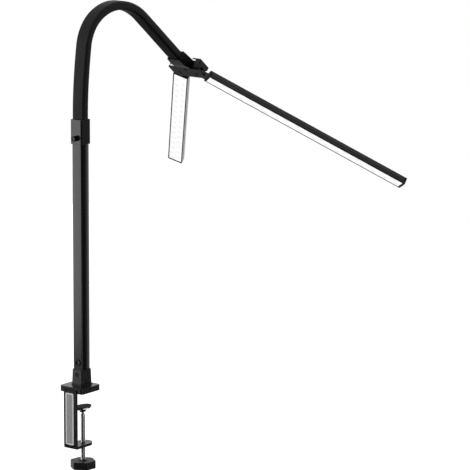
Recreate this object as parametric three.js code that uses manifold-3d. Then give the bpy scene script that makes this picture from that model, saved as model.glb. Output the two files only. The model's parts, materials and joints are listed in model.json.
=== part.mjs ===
// A clamp-on desk lamp: a C-clamp, a square pole, a flat flexible neck and two
// folding light bars. Millimetres, +Z up. The origin is the point of the clamp's
// rubber seat under the pole's axis. The neck reaches towards +X.

import * as THREE from 'three';
import { mergeVertices } from 'three/addons/utils/BufferGeometryUtils.js';
import Module from 'manifold-3d';

const wasm = await Module();
wasm.setup();

// ---------------------------------------------------------------- dimensions

const GAP = 0.3; // clearance between pieces that rest against each other

// clamp
const SEAT = { back: -27.5, front: 18.6, halfWidth: 24, top: 10, corner: 4.5, padThickness: 1.2 };
const PAD = { edge: 1.5, corner: 3, rimBottom: 0.5 };
const BOSS = { topZ: 35.7, halfBottom: 12.2, halfTop: 11.4, corner: 3.5, footHeight: 1.4, footEdge: 1 };
const SET_SCREW = { z: 27, radius: 3.4, boreRadius: 3.8, hexRadius: 1.5, hexDepth: 0.8 };
const BRACKET = { back: -30, thickness: 4.6, halfWidth: 12.7, topZ: 5.7, jawBottomZ: -92, bend: 3 };
const BRACKET_SCREW = {
  y: [-8, 8], z: 3.6, headRadius: 2, headStart: 0.2, headEnd: 1.4, seatRadius: 2.3, seatDepth: 1.7,
  shankRadius: 1.2, holeRadius: 1.5, reach: 6,
};
const LABEL = { halfWidth: 8.4, halfHeight: 42.9, z: -42.2, thickness: 0.6, corner: 2 };
const INSERT_HOLE_RADIUS = 6.4;
const SCREW = { x: 2, radius: 4, taper: 1 };
const KNOB = {
  topZ: -117.5, height: 12.5, radius: 21.4, corners: 6, heading: 56, grooveRadius: 1.2,
  collarRadius: 7, collarHeight: 1.2, floor: 3,
};
const DISC = { rimZ: -28, radius: 16.5, rimThickness: 1.6, depth: 8, tilt: 8.5, tiltHeading: 37.9 };
const DISC_CUP = { outer: 6.4, inner: 5.4, collarHeight: 2.4, recess: 0.8 };
const DISC_PAD = { radius: 14.6, proud: 0.9 };
const BALL = { radius: 3.6, belowRim: 5.4, stubRadius: 2.2, stubLength: 6, holeRadius: 3.2, holeTop: 1.5 };

// pole and collar
const POLE = { half: 10, corner: 2, innerCorner: 1, wall: 1.5, bottomZ: 4.3, topZ: 425 };
const INLET = {
  z: 46.8, flangeRadius: 6, flangeThickness: 1.2, barrelRadius: 4.6, boreRadius: 2.8, pinRadius: 1,
  back: 1, wall: 2, pinInset: 1,
};
const LEAD = { radius: 2, x: 5, below: 4, belowPoleTop: 3 };
const COLLAR = { half: 11.4, corner: 2, bottomZ: 403.3, topZ: 443.1, capThickness: 1.8, slotDepth: 5 };
const FERRULE_FLOOR = 3;
const THUMB = {
  z: 413, knobRadius: 4.4, knobLength: 7, shankRadius: 2.2, holeRadius: 2.7, recessRadius: 3,
  recessDepth: 1, tipRadius: 1.8, tipLength: 0.9, tipGap: 0.1,
};

// flexible neck: equal links, each an arc that turns by its own angle
const NECK = {
  halfWidth: 12, halfDepth: 7.3, corner: 4, wall: 2, linkLength: 58, gap: 1.8, stepAngle: 7,
};
const NECK_TURNS = [4.9, 3.9, 52.5, 37.4, 30.4, 0.4, 0];
const CORE = { halfWidth: 7.5, halfDepth: 3 };
const NECK_INSERT = 14; // how far the neck reaches into the hub's socket

// hub, in its own frame: x along the neck's heading, z up and away from the light
const HUB = {
  front: 58, half: 32.5, top: 12.4, wall: 1.8, plateTop: -1.8, plateBottom: -4.4,
  longSideBack: 23.5, shortSideBack: 30.5, rearRadius: 3, notchHalf: 23, notchEnd: 31.8,
  slotStart: 32.4, slotLow: 1, slotTop: 3.3, slotTopFrom: 34.7, slotRise: 0.17,
  rearOpeningY: 18, frontCutX: 7, frontCutY: 12, bossRadius: 5.5, bossRise: 1.1, screwBossRadius: 4, bossOverlap: 0.5,
  bridgeInner: 15.6, bridgeHeight: 1.5,
};
const HUB_SCREW = { x: 37.5, shankRadius: 1.4, headRadius: 2.7, holeRadius: 1.7, seatRadius: 3, topZ: 6 };
const SCREW_HEAD = { proud: 0.3, depth: 0.5, seatDepth: 0.8, slotHalf: 0.4 };
const WASHER = { lowerRadius: 8, springRadius: 7, springRise: 0.8 };
const SOCKET = {
  mouthHalf: 13.2, endHalf: 15.5, mouthBottom: -8.7, mouthTop: 9.4, endTop: 10.5, length: 31.5,
  wedgeStart: 15.5,
};
const PIVOT = { x: 47.5, y: 17, radius: 2.4, headRadius: 3.6, seatRadius: 4 };

// light bars, in their own frames: x along the bar, origin at the pivot
const BAR = {
  start: 17.5, length: 377.5, half: 13.4, bottom: -2.7, top: 9, wall: 1.4, cap: 4, corner: 3, edge: 0.8,
  lipHalf: 11.6, lipHeight: 1.6,
};
const ARM = { halfWidth: 11.5, bottom: -0.8, top: 2.9, end: 34 };
const DIFFUSER = { half: 11.3, thickness: 0.9, recess: 0.7 };
const BOARD = { half: 10.5, thickness: 1.6, inset: 12 };
const BAR_ANGLES = { long_bar: -39.7, short_bar: 33.5 };

// ----------------------------------------------------------------- materials

const finish = (color, roughness, metalness) =>
  new THREE.MeshStandardMaterial({ color, roughness, metalness });

const blackAluminium = finish(0x1b1b1d, 0.38, 0.7);
const blackPaint = finish(0x151516, 0.42, 0.3);
const blackPlastic = finish(0x141415, 0.5, 0);
const silicone = finish(0x202022, 0.75, 0);
const rubber = finish(0x1a1a1a, 0.9, 0);
const chrome = finish(0xd8d8dc, 0.12, 1);
const steel = finish(0xb0b0b4, 0.35, 1);
const labelGrey = finish(0xb9b9bb, 0.5, 0);
const opal = finish(0xffffff, 0.5, 0);
const nylon = finish(0xdcdad0, 0.5, 0);
const boardWhite = finish(0xe9e9e6, 0.6, 0);
const blackOxide = finish(0x222224, 0.4, 0.8);

// ------------------------------------------------------------ geometry tools

function solidOf(geometry) {
  const bare = geometry.clone();
  bare.deleteAttribute('normal');
  bare.deleteAttribute('uv');
  const merged = mergeVertices(bare, 1e-4);
  const vertProperties = new Float32Array(merged.attributes.position.array);
  const triVerts = new Uint32Array(merged.index.array);
  return new wasm.Manifold(new wasm.Mesh({ numProp: 3, vertProperties, triVerts }));
}

function geometryOf(solid) {
  const mesh = solid.getMesh();
  const geometry = new THREE.BufferGeometry();
  geometry.setAttribute('position', new THREE.BufferAttribute(mesh.vertProperties, 3));
  geometry.setIndex(new THREE.BufferAttribute(mesh.triVerts, 1));
  geometry.computeVertexNormals();
  return geometry;
}

function cut(body, ...tools) {
  const result = tools.reduce((solid, tool) => solid.subtract(solidOf(tool)), solidOf(body));
  return geometryOf(result);
}

function join(...bodies) {
  const solids = bodies.map(solidOf);
  return geometryOf(solids.reduce((sum, solid) => sum.add(solid)));
}

function block([x0, x1], [y0, y1], [z0, z1]) {
  const box = new THREE.BoxGeometry(x1 - x0, y1 - y0, z1 - z0);
  return box.translate((x0 + x1) / 2, (y0 + y1) / 2, (z0 + z1) / 2);
}

function rodZ(radius, z0, z1, x = 0, y = 0, sides = 24) {
  const rod = new THREE.CylinderGeometry(radius, radius, z1 - z0, sides);
  return rod.rotateX(Math.PI / 2).translate(x, y, (z0 + z1) / 2);
}

function rodX(radius, x0, x1, z, sides = 20) {
  const rod = new THREE.CylinderGeometry(radius, radius, x1 - x0, sides);
  return rod.rotateZ(Math.PI / 2).translate((x0 + x1) / 2, 0, z);
}

function turned(profile, sides = 32) {
  const points = profile.map(([radius, z]) => new THREE.Vector2(radius, z));
  return new THREE.LatheGeometry(points, sides).rotateX(Math.PI / 2);
}

function prism(shape, z0, z1, steps = 1, curveSegments = 5) {
  const depth = z1 - z0;
  const options = { depth, steps, bevelEnabled: false, curveSegments };
  return new THREE.ExtrudeGeometry(shape, options).translate(0, 0, z0);
}

function roundedRectangle(x0, x1, y0, y1, radius) {
  const shape = new THREE.Shape();
  shape.absarc(x1 - radius, y1 - radius, radius, 0, Math.PI / 2);
  shape.absarc(x0 + radius, y1 - radius, radius, Math.PI / 2, Math.PI);
  shape.absarc(x0 + radius, y0 + radius, radius, Math.PI, 1.5 * Math.PI);
  shape.absarc(x1 - radius, y0 + radius, radius, 1.5 * Math.PI, 2 * Math.PI);
  return shape;
}

function square(half, radius) {
  return roundedRectangle(-half, half, -half, half, radius);
}

function moveVertices(geometry, place) {
  const position = geometry.attributes.position;
  const point = new THREE.Vector3();
  for (let i = 0; i < position.count; i++) {
    point.fromBufferAttribute(position, i);
    place(point);
    position.setXYZ(i, point.x, point.y, point.z);
  }
  return geometry;
}

// Bends a solid that runs up +Z, so that its length turns towards +X.
function bend(geometry, length, degrees) {
  if (degrees === 0) {
    return geometry;
  }
  const radius = length / THREE.MathUtils.degToRad(degrees);
  return moveVertices(geometry, (point) => {
    const angle = point.z / radius;
    const reach = radius - point.x;
    point.set(radius - reach * Math.cos(angle), point.y, reach * Math.sin(angle));
  });
}

// --------------------------------------------------------------- scene graph

const lamp = new THREE.Group();

function add(name, geometry, material, parent = lamp) {
  const mesh = new THREE.Mesh(geometry, material);
  mesh.name = name;
  parent.add(mesh);
  return mesh;
}

function group(parent, x, y, z) {
  const child = new THREE.Group();
  child.position.set(x, y, z);
  parent.add(child);
  return child;
}

// -------------------------------------------------------------- clamp's frame

const bracketFront = BRACKET.back + BRACKET.thickness;
const jawTopZ = BRACKET.jawBottomZ + BRACKET.thickness;
const plateBottom = SEAT.padThickness + GAP;

function bracketScrewHoles(radius, from, to) {
  return BRACKET_SCREW.y.map((y) => rodX(radius, from, to, BRACKET_SCREW.z, 12).translate(0, y, 0));
}

// The rubber pad's plan, grown by margin.
function padPlan(margin) {
  const half = SEAT.halfWidth - PAD.edge + margin;
  const back = bracketFront + 1 - margin;
  return roundedRectangle(back, SEAT.front - PAD.edge + margin, -half, half, PAD.corner);
}

// A plate with a boss for the pole, and a recess below for the rubber pad.
function clampSeat() {
  const outline = roundedRectangle(SEAT.back, SEAT.front, -SEAT.halfWidth, SEAT.halfWidth, SEAT.corner);
  const plate = prism(outline, PAD.rimBottom, SEAT.top);
  const padRecess = prism(padPlan(GAP), PAD.rimBottom - 1, plateBottom);
  const boss = prism(square(1, BOSS.corner / BOSS.halfBottom), SEAT.top - 2, BOSS.topZ);
  const taper = (BOSS.halfBottom - BOSS.halfTop) / (BOSS.topZ - SEAT.top);
  moveVertices(boss, (point) => {
    const half = BOSS.halfBottom - taper * (point.z - SEAT.top);
    point.x *= half;
    point.y *= half;
  });
  const footOutline = square(BOSS.halfBottom + BOSS.footEdge, BOSS.corner + BOSS.footEdge);
  const foot = prism(footOutline, SEAT.top - 1, SEAT.top + BOSS.footHeight);
  const poleBore = prism(square(POLE.half + GAP, POLE.corner + GAP), POLE.bottomZ - GAP, BOSS.topZ + 1);
  const notchSide = BRACKET.halfWidth + GAP;
  const notch = block(
    [SEAT.back - 1, bracketFront + GAP], [-notchSide, notchSide], [PAD.rimBottom - 1, BRACKET.topZ + GAP],
  );
  const setScrewBore = rodX(SET_SCREW.boreRadius, -BOSS.halfBottom - 2, -POLE.half + 1, SET_SCREW.z);
  const screwEnd = bracketFront + BRACKET_SCREW.reach + GAP;
  const screwHoles = bracketScrewHoles(BRACKET_SCREW.holeRadius, bracketFront, screwEnd);
  return cut(join(plate, boss, foot), padRecess, poleBore, notch, setScrewBore, ...screwHoles);
}

function clampBracket() {
  const side = BRACKET.halfWidth;
  const profile = new THREE.Shape();
  profile.moveTo(BRACKET.back, BRACKET.topZ);
  profile.lineTo(BRACKET.back, BRACKET.jawBottomZ + BRACKET.bend);
  profile.absarc(
    BRACKET.back + BRACKET.bend, BRACKET.jawBottomZ + BRACKET.bend, BRACKET.bend, Math.PI, 1.5 * Math.PI,
  );
  profile.lineTo(SEAT.front, BRACKET.jawBottomZ);
  profile.lineTo(SEAT.front, jawTopZ);
  profile.lineTo(bracketFront, jawTopZ);
  profile.lineTo(bracketFront, BRACKET.topZ);
  const strip = prism(profile, -side, side).rotateX(Math.PI / 2);
  const plan = new THREE.Shape();
  plan.moveTo(BRACKET.back - 1, side);
  plan.lineTo(BRACKET.back - 1, -side);
  plan.absarc(SEAT.front - side, 0, side, -Math.PI / 2, Math.PI / 2);
  const planSolid = solidOf(prism(plan, BRACKET.jawBottomZ - 1, BRACKET.topZ + 1, 1, 16));
  const trimmed = geometryOf(solidOf(strip).intersect(planSolid));
  const insertHole = rodZ(INSERT_HOLE_RADIUS, BRACKET.jawBottomZ - 1, jawTopZ + 1, SCREW.x);
  const seatEnd = BRACKET.back + BRACKET_SCREW.seatDepth;
  return cut(
    trimmed,
    insertHole,
    ...bracketScrewHoles(BRACKET_SCREW.holeRadius, BRACKET.back - 1, bracketFront + 1),
    ...bracketScrewHoles(BRACKET_SCREW.seatRadius, BRACKET.back - 1, seatEnd),
  );
}

function bracketScrew(y) {
  const headStart = BRACKET.back + BRACKET_SCREW.headStart;
  const headEnd = BRACKET.back + BRACKET_SCREW.headEnd;
  const shankEnd = bracketFront + BRACKET_SCREW.reach;
  const head = rodX(BRACKET_SCREW.headRadius, headStart, headEnd, BRACKET_SCREW.z, 12);
  const shank = rodX(BRACKET_SCREW.shankRadius, headStart + 1, shankEnd, BRACKET_SCREW.z, 12);
  return join(head, shank).translate(0, y, 0);
}

add('clamp_seat', clampSeat(), blackPaint);
add('clamp_bracket', clampBracket(), blackPaint);
for (const [index, y] of BRACKET_SCREW.y.entries()) {
  add(`bracket_screw_${index + 1}`, bracketScrew(y), blackOxide);
}

add('desk_pad', prism(padPlan(0), 0, SEAT.padThickness), rubber);

const labelOutline = roundedRectangle(
  -LABEL.halfWidth, LABEL.halfWidth, -LABEL.halfHeight, LABEL.halfHeight, LABEL.corner,
);
const label = prism(labelOutline, 0, LABEL.thickness).rotateX(Math.PI / 2).rotateZ(-Math.PI / 2);
add('blank_label', label.translate(BRACKET.back - GAP, 0, LABEL.z), labelGrey);

function setScrew() {
  const hexEnd = -BOSS.halfTop + SET_SCREW.hexDepth;
  const hexLength = SET_SCREW.hexDepth + 1;
  const hex = new THREE.CylinderGeometry(SET_SCREW.hexRadius, SET_SCREW.hexRadius, hexLength, 6);
  hex.rotateZ(Math.PI / 2).translate(hexEnd - hexLength / 2, 0, SET_SCREW.z);
  return cut(rodX(SET_SCREW.radius, -BOSS.halfTop, -POLE.half - GAP, SET_SCREW.z), hex);
}

add('socket_set_screw', setScrew(), blackOxide);

const insert = cut(
  rodZ(INSERT_HOLE_RADIUS - GAP, BRACKET.jawBottomZ, jawTopZ, SCREW.x),
  rodZ(SCREW.radius + GAP, BRACKET.jawBottomZ - 1, jawTopZ + 1, SCREW.x),
);
add('thread_insert', insert, blackOxide);

// ------------------------------------------------- clamp's screw, foot and knob

const screwGroup = group(lamp, SCREW.x, 0, 0);
const ballZ = DISC.rimZ - BALL.belowRim;
const screwTopZ = ballZ - BALL.stubLength - GAP;

const ball = new THREE.SphereGeometry(BALL.radius, 16, 10).translate(0, 0, ballZ);
const ballStub = rodZ(BALL.stubRadius, ballZ - BALL.stubLength, ballZ, 0, 0, 16);
add('screw_ball', join(ball, ballStub), steel, screwGroup);

const knobBottomZ = KNOB.topZ - KNOB.height;
const screwBottomZ = knobBottomZ + KNOB.floor;
const screwProfile = [
  [0, screwBottomZ], [SCREW.radius, screwBottomZ], [SCREW.radius, screwTopZ - SCREW.taper],
  [SCREW.radius - SCREW.taper, screwTopZ], [0, screwTopZ],
];
add('clamp_screw', turned(screwProfile), chrome, screwGroup);

function knobCorners() {
  const corners = [];
  for (let corner = 0; corner < KNOB.corners; corner++) {
    const angle = THREE.MathUtils.degToRad((360 / KNOB.corners) * corner + KNOB.heading);
    corners.push(new THREE.Vector2(KNOB.radius * Math.cos(angle), KNOB.radius * Math.sin(angle)));
  }
  return corners;
}

// A hexagonal hand knob with a half-round groove at each corner.
function knob() {
  const corners = knobCorners();
  const body = prism(new THREE.Shape(corners), knobBottomZ, KNOB.topZ);
  const collar = rodZ(KNOB.collarRadius, KNOB.topZ - 1, KNOB.topZ + KNOB.collarHeight);
  const bore = rodZ(SCREW.radius + GAP, screwBottomZ - GAP, KNOB.topZ + 2);
  const grooves = corners.map(({ x, y }) => (
    rodZ(KNOB.grooveRadius, knobBottomZ - 1, KNOB.topZ + 1, x, y, 16)
  ));
  return cut(join(body, collar), bore, ...grooves);
}

add('clamp_knob', knob(), blackPlastic, screwGroup);

const footGroup = group(screwGroup, 0, 0, ballZ);
const leanAxis = new THREE.Vector3(1, 0, 0);
leanAxis.applyAxisAngle(new THREE.Vector3(0, 0, 1), THREE.MathUtils.degToRad(DISC.tiltHeading));
footGroup.quaternion.setFromAxisAngle(leanAxis, THREE.MathUtils.degToRad(-DISC.tilt));

// Heights in the foot's own frame start at the ball's centre.
const rimTop = DISC.rimZ - ballZ;
const discBottom = rimTop - DISC.depth;
const recessFloor = rimTop - DISC_CUP.recess;
const recessRadius = DISC_PAD.radius + GAP;
const discProfile = [
  [0, discBottom], [DISC_CUP.inner, discBottom], [DISC_CUP.outer, discBottom + DISC_CUP.collarHeight],
  [DISC.radius, rimTop - DISC.rimThickness], [DISC.radius, rimTop], [recessRadius, rimTop],
  [recessRadius, recessFloor], [0, recessFloor],
];
const ballSeat = new THREE.SphereGeometry(BALL.radius + GAP, 16, 10);
const stubHole = rodZ(BALL.holeRadius, discBottom - 1, -BALL.holeTop);
add('pressure_disc', cut(turned(discProfile), ballSeat, stubHole), chrome, footGroup);
const discPad = rodZ(DISC_PAD.radius, recessFloor + GAP, rimTop + DISC_PAD.proud, 0, 0, 32);
add('disc_pad', discPad, rubber, footGroup);

// ------------------------------------------------------------ pole and collar

const poleInnerHalf = POLE.half - POLE.wall;
const poleTube = cut(
  prism(square(POLE.half, POLE.corner), POLE.bottomZ, POLE.topZ),
  prism(square(poleInnerHalf, POLE.innerCorner), POLE.bottomZ - 1, POLE.topZ + 1),
  rodX(INLET.barrelRadius + GAP, -POLE.half - 1, -poleInnerHalf + 1, INLET.z),
);
add('pole_tube', poleTube, blackAluminium);

const inletFace = -POLE.half - GAP;
const inletBody = cut(
  join(
    rodX(INLET.flangeRadius, inletFace - INLET.flangeThickness, inletFace, INLET.z),
    rodX(INLET.barrelRadius, inletFace - 1, INLET.back, INLET.z),
  ),
  rodX(INLET.boreRadius, inletFace - 2, INLET.back - INLET.wall, INLET.z),
);
add('inlet_body', inletBody, blackPlastic);
const pinStart = -POLE.half + INLET.pinInset;
const pinEnd = INLET.back - INLET.wall - GAP;
add('inlet_pin', rodX(INLET.pinRadius, pinStart, pinEnd, INLET.z, 16), steel);

const leadBottom = INLET.z - LEAD.below;
add('pole_lead', rodZ(LEAD.radius, leadBottom, POLE.topZ - LEAD.belowPoleTop, LEAD.x, 0, 12), rubber);

// The slot that the neck's steel core passes through.
function coreSlot(z0, z1) {
  const halfDepth = CORE.halfDepth + GAP;
  const halfWidth = CORE.halfWidth + GAP;
  return block([-halfDepth, halfDepth], [-halfWidth, halfWidth], [z0, z1]);
}

function collar() {
  const shell = prism(square(COLLAR.half, COLLAR.corner), COLLAR.bottomZ, COLLAR.topZ);
  const boreTop = COLLAR.topZ - COLLAR.capThickness;
  const bore = prism(square(POLE.half + GAP, POLE.corner), COLLAR.bottomZ - 1, boreTop);
  const slot = coreSlot(COLLAR.topZ - COLLAR.slotDepth, COLLAR.topZ + 1);
  const screwHole = rodX(THUMB.holeRadius, -COLLAR.half - 1, -POLE.half + 1, THUMB.z);
  return cut(shell, bore, slot, screwHole);
}

add('collar', collar(), blackAluminium);

const ferruleBottom = POLE.topZ + GAP;
const ferruleTop = COLLAR.topZ - COLLAR.capThickness - GAP;
const slotFloor = ferruleBottom + FERRULE_FLOOR;
const ferruleBody = prism(square(POLE.half, POLE.corner), ferruleBottom, ferruleTop);
add('neck_ferrule', cut(ferruleBody, coreSlot(slotFloor, ferruleTop + 1)), blackPlastic);

const rootCore = block(
  [-CORE.halfDepth, CORE.halfDepth], [-CORE.halfWidth, CORE.halfWidth], [slotFloor + GAP, COLLAR.topZ],
);
add('core_root', rootCore, steel);

const tipFace = -POLE.half - GAP;
const tipBack = tipFace - THUMB.tipLength;
add('thumb_tip', rodX(THUMB.tipRadius, tipBack, tipFace, THUMB.z, 16), nylon);

function thumbScrew() {
  const knobStart = -COLLAR.half - GAP;
  const knobEnd = knobStart - THUMB.knobLength;
  const shank = rodX(THUMB.shankRadius, knobStart - 1, tipBack - THUMB.tipGap, THUMB.z);
  const head = rodX(THUMB.knobRadius, knobEnd, knobStart, THUMB.z, 24);
  const recess = rodX(THUMB.recessRadius, knobEnd - 1, knobEnd + THUMB.recessDepth, THUMB.z);
  return cut(join(shank, head), recess);
}

add('thumb_screw', thumbScrew(), blackPaint);

// -------------------------------------------------------------- flexible neck

function neckSection(halfDepth, halfWidth, radius) {
  return roundedRectangle(-halfDepth, halfDepth, -halfWidth, halfWidth, radius);
}

function plainSection(halfDepth, halfWidth) {
  const section = new THREE.Shape();
  section.moveTo(halfDepth, halfWidth);
  section.lineTo(-halfDepth, halfWidth);
  section.lineTo(-halfDepth, -halfWidth);
  section.lineTo(halfDepth, -halfWidth);
  return section;
}

function neckLink(index, parent) {
  const turn = NECK_TURNS[index];
  const isLast = index === NECK_TURNS.length - 1;
  const steps = Math.max(1, Math.ceil(turn / NECK.stepAngle));
  const from = NECK.gap / 2;
  const to = isLast ? NECK.linkLength + NECK_INSERT : NECK.linkLength - NECK.gap / 2;
  const sleeveShape = neckSection(NECK.halfDepth, NECK.halfWidth, NECK.corner);
  sleeveShape.holes.push(plainSection(NECK.halfDepth - NECK.wall, NECK.halfWidth - NECK.wall));
  const sleeve = prism(sleeveShape, from, to, steps, 3);
  const core = prism(plainSection(CORE.halfDepth, CORE.halfWidth), from, to, steps);
  const number = index + 1;
  add(`neck_sleeve_${number}`, bend(sleeve, NECK.linkLength, turn), silicone, parent);
  add(`neck_core_${number}`, bend(core, NECK.linkLength, turn), steel, parent);
  const end = new THREE.Vector3(0, 0, NECK.linkLength);
  const endMark = new THREE.BufferGeometry().setFromPoints([end]);
  bend(endMark, NECK.linkLength, turn);
  end.fromBufferAttribute(endMark.attributes.position, 0);
  const next = group(parent, end.x, end.y, end.z);
  next.rotation.y = THREE.MathUtils.degToRad(turn);
  return next;
}

let neckEnd = group(lamp, 0, 0, COLLAR.topZ + NECK.gap / 2);
for (let index = 0; index < NECK_TURNS.length; index++) {
  neckEnd = neckLink(index, neckEnd);
}

// ------------------------------------------------------------------------ hub

// The neck's heading is +Z of its last group, so a quarter turn makes it the hub's +X.
const hub = group(neckEnd, 0, 0, 0);
hub.rotation.y = -Math.PI / 2;

// The shell's plan: a lobe on each side of a notch for the socket, and cut front corners.
function shellPlan() {
  const plan = new THREE.Shape();
  const turnY = HUB.half - HUB.rearRadius;
  const longTurnX = HUB.longSideBack + HUB.rearRadius;
  const shortTurnX = HUB.shortSideBack + HUB.rearRadius;
  plan.moveTo(HUB.notchEnd, -HUB.notchHalf);
  plan.lineTo(HUB.longSideBack, -HUB.notchHalf);
  plan.absarc(longTurnX, -turnY, HUB.rearRadius, Math.PI, 1.5 * Math.PI);
  frontEdge(plan, HUB.front, HUB.half);
  plan.absarc(shortTurnX, turnY, HUB.rearRadius, Math.PI / 2, Math.PI);
  plan.lineTo(HUB.shortSideBack, HUB.notchHalf);
  plan.lineTo(HUB.notchEnd, HUB.notchHalf);
  return plan;
}

function frontEdge(plan, front, half) {
  plan.lineTo(front - HUB.frontCutX, -half);
  plan.lineTo(front, HUB.frontCutY - half);
  plan.lineTo(front, half - HUB.frontCutY);
  plan.lineTo(front - HUB.frontCutX, half);
}

const pivotSides = { long_bar: -1, short_bar: 1 };

function hubShell() {
  const body = prism(shellPlan(), HUB.plateTop + GAP, HUB.top);
  const ceiling = HUB.top - HUB.wall;
  const innerSide = HUB.half - HUB.wall;
  const innerBack = HUB.slotStart + 2;
  const cavityPlan = new THREE.Shape();
  cavityPlan.moveTo(innerBack, -innerSide);
  frontEdge(cavityPlan, HUB.front - HUB.wall, innerSide);
  cavityPlan.lineTo(innerBack, innerSide);
  const cavity = prism(cavityPlan, HUB.plateTop - 1, ceiling);
  const rearOpening = block(
    [HUB.shortSideBack - 1, HUB.slotTopFrom],
    [HUB.rearOpeningY, HUB.half - HUB.wall],
    [HUB.plateTop - 1, HUB.slotTop],
  );
  const hollow = cut(body, cavity, armSlot(), rearOpening);
  const bossTop = ceiling + HUB.bossOverlap;
  const bosses = [rodZ(HUB.screwBossRadius, HUB.plateTop + GAP, bossTop, HUB_SCREW.x)];
  const bores = [rodZ(HUB_SCREW.holeRadius, HUB.plateTop - 1, ceiling, HUB_SCREW.x, 0, 16)];
  for (const side of Object.values(pivotSides)) {
    const y = side * PIVOT.y;
    bosses.push(rodZ(HUB.bossRadius, HUB.slotTop + HUB.bossRise, bossTop, PIVOT.x, y));
    bores.push(rodZ(PIVOT.radius + GAP, HUB.slotTop, ceiling, PIVOT.x, y, 20));
  }
  return cut(join(hollow, socketBridge(), ...bosses), ...bores);
}

// A thin strip of the roof that reaches from the longer lobe towards the socket.
function socketBridge() {
  return block(
    [HUB.longSideBack, HUB.longSideBack + HUB.wall],
    [-HUB.notchHalf - HUB.wall, -HUB.bridgeInner],
    [HUB.top - HUB.bridgeHeight, HUB.top],
  );
}

// The opening round the shell that the bars' arms swing in, taller towards the front.
function armSlot() {
  const slotEnd = HUB.front + 1;
  const slotSide = HUB.half + 1;
  const section = new THREE.Shape();
  section.moveTo(HUB.slotStart, HUB.plateTop - 1);
  section.lineTo(slotEnd, HUB.plateTop - 1);
  section.lineTo(slotEnd, HUB.slotTop + HUB.slotRise * (slotEnd - HUB.slotTopFrom));
  section.lineTo(HUB.slotTopFrom, HUB.slotTop);
  section.lineTo(HUB.slotStart, HUB.slotLow);
  return prism(section, -slotSide, slotSide).rotateX(Math.PI / 2);
}

function hubPlate() {
  const plan = new THREE.Shape();
  plan.moveTo(HUB.notchEnd, HUB.half);
  plan.lineTo(HUB.notchEnd, -HUB.half);
  frontEdge(plan, HUB.front, HUB.half);
  const plate = prism(plan, HUB.plateBottom, HUB.plateTop);
  const tools = [screwSeat(HUB_SCREW.x, 0, HUB_SCREW.holeRadius, HUB_SCREW.seatRadius)];
  for (const side of Object.values(pivotSides)) {
    tools.push(screwSeat(PIVOT.x, side * PIVOT.y, PIVOT.radius + GAP, PIVOT.seatRadius));
  }
  return cut(plate, ...tools);
}

// A counterbored hole through the hub's plate.
function screwSeat(x, y, holeRadius, headRadius) {
  const hole = rodZ(holeRadius, HUB.plateBottom - 1, HUB.plateTop + 1, x, y, 20);
  const seat = rodZ(headRadius, HUB.plateBottom - 1, HUB.plateBottom + SCREW_HEAD.seatDepth, x, y, 20);
  return join(hole, seat);
}

// A pan-head screw that points up from the hub's plate.
function upScrew(shankRadius, headRadius, topZ) {
  const headBottom = HUB.plateBottom - SCREW_HEAD.proud;
  const head = rodZ(headRadius, headBottom, HUB.plateBottom + SCREW_HEAD.depth, 0, 0, 20);
  const shank = rodZ(shankRadius, HUB.plateBottom, topZ, 0, 0, 20);
  const slot = block(
    [-headRadius, headRadius],
    [-SCREW_HEAD.slotHalf, SCREW_HEAD.slotHalf],
    [headBottom - 1, HUB.plateBottom],
  );
  return cut(join(head, shank), slot);
}

// A washer round a pivot screw.
function ring(radius, z0, z1) {
  return cut(rodZ(radius, z0, z1), rodZ(PIVOT.radius + GAP, z0 - 1, z1 + 1, 0, 0, 16));
}

function hubSocket() {
  const section = new THREE.Shape();
  section.moveTo(0, SOCKET.mouthBottom);
  section.lineTo(SOCKET.wedgeStart, SOCKET.mouthBottom);
  section.lineTo(SOCKET.length, HUB.plateBottom);
  section.lineTo(SOCKET.length, SOCKET.endTop);
  section.lineTo(0, SOCKET.mouthTop);
  const body = prism(section, -1, 1).rotateX(Math.PI / 2);
  moveVertices(body, (point) => {
    point.y *= THREE.MathUtils.lerp(SOCKET.mouthHalf, SOCKET.endHalf, point.x / SOCKET.length);
  });
  const bore = block(
    [-1, NECK_INSERT + GAP],
    [-NECK.halfWidth - GAP, NECK.halfWidth + GAP],
    [-NECK.halfDepth - GAP, NECK.halfDepth + GAP],
  );
  return cut(body, bore);
}

add('hub_socket', hubSocket(), blackPaint, hub);
add('hub_shell', hubShell(), blackPaint, hub);
add('hub_plate', hubPlate(), blackPaint, hub);
const hubScrew = upScrew(HUB_SCREW.shankRadius, HUB_SCREW.headRadius, HUB_SCREW.topZ);
add('hub_screw', hubScrew.translate(HUB_SCREW.x, 0, 0), blackOxide, hub);

// ----------------------------------------------------------------- light bars

function barArm() {
  const plan = new THREE.Shape();
  plan.absarc(0, 0, ARM.halfWidth, Math.PI / 2, 1.5 * Math.PI);
  plan.lineTo(ARM.end, -ARM.halfWidth);
  plan.lineTo(ARM.end, ARM.halfWidth);
  const plate = prism(plan, ARM.bottom, ARM.top, 1, 14);
  return cut(plate, rodZ(PIVOT.radius + GAP, ARM.bottom - 1, ARM.top + 1));
}

function capPlan(x0, x1, roundEnd) {
  const radius = BAR.corner;
  const plan = new THREE.Shape();
  const tip = roundEnd > 0 ? x1 : x0;
  const flat = roundEnd > 0 ? x0 : x1;
  plan.moveTo(flat, BAR.half);
  plan.lineTo(tip - roundEnd * radius, BAR.half);
  plan.quadraticCurveTo(tip, BAR.half, tip, BAR.half - radius);
  plan.lineTo(tip, radius - BAR.half);
  plan.quadraticCurveTo(tip, -BAR.half, tip - roundEnd * radius, -BAR.half);
  plan.lineTo(flat, -BAR.half);
  return plan;
}

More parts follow.
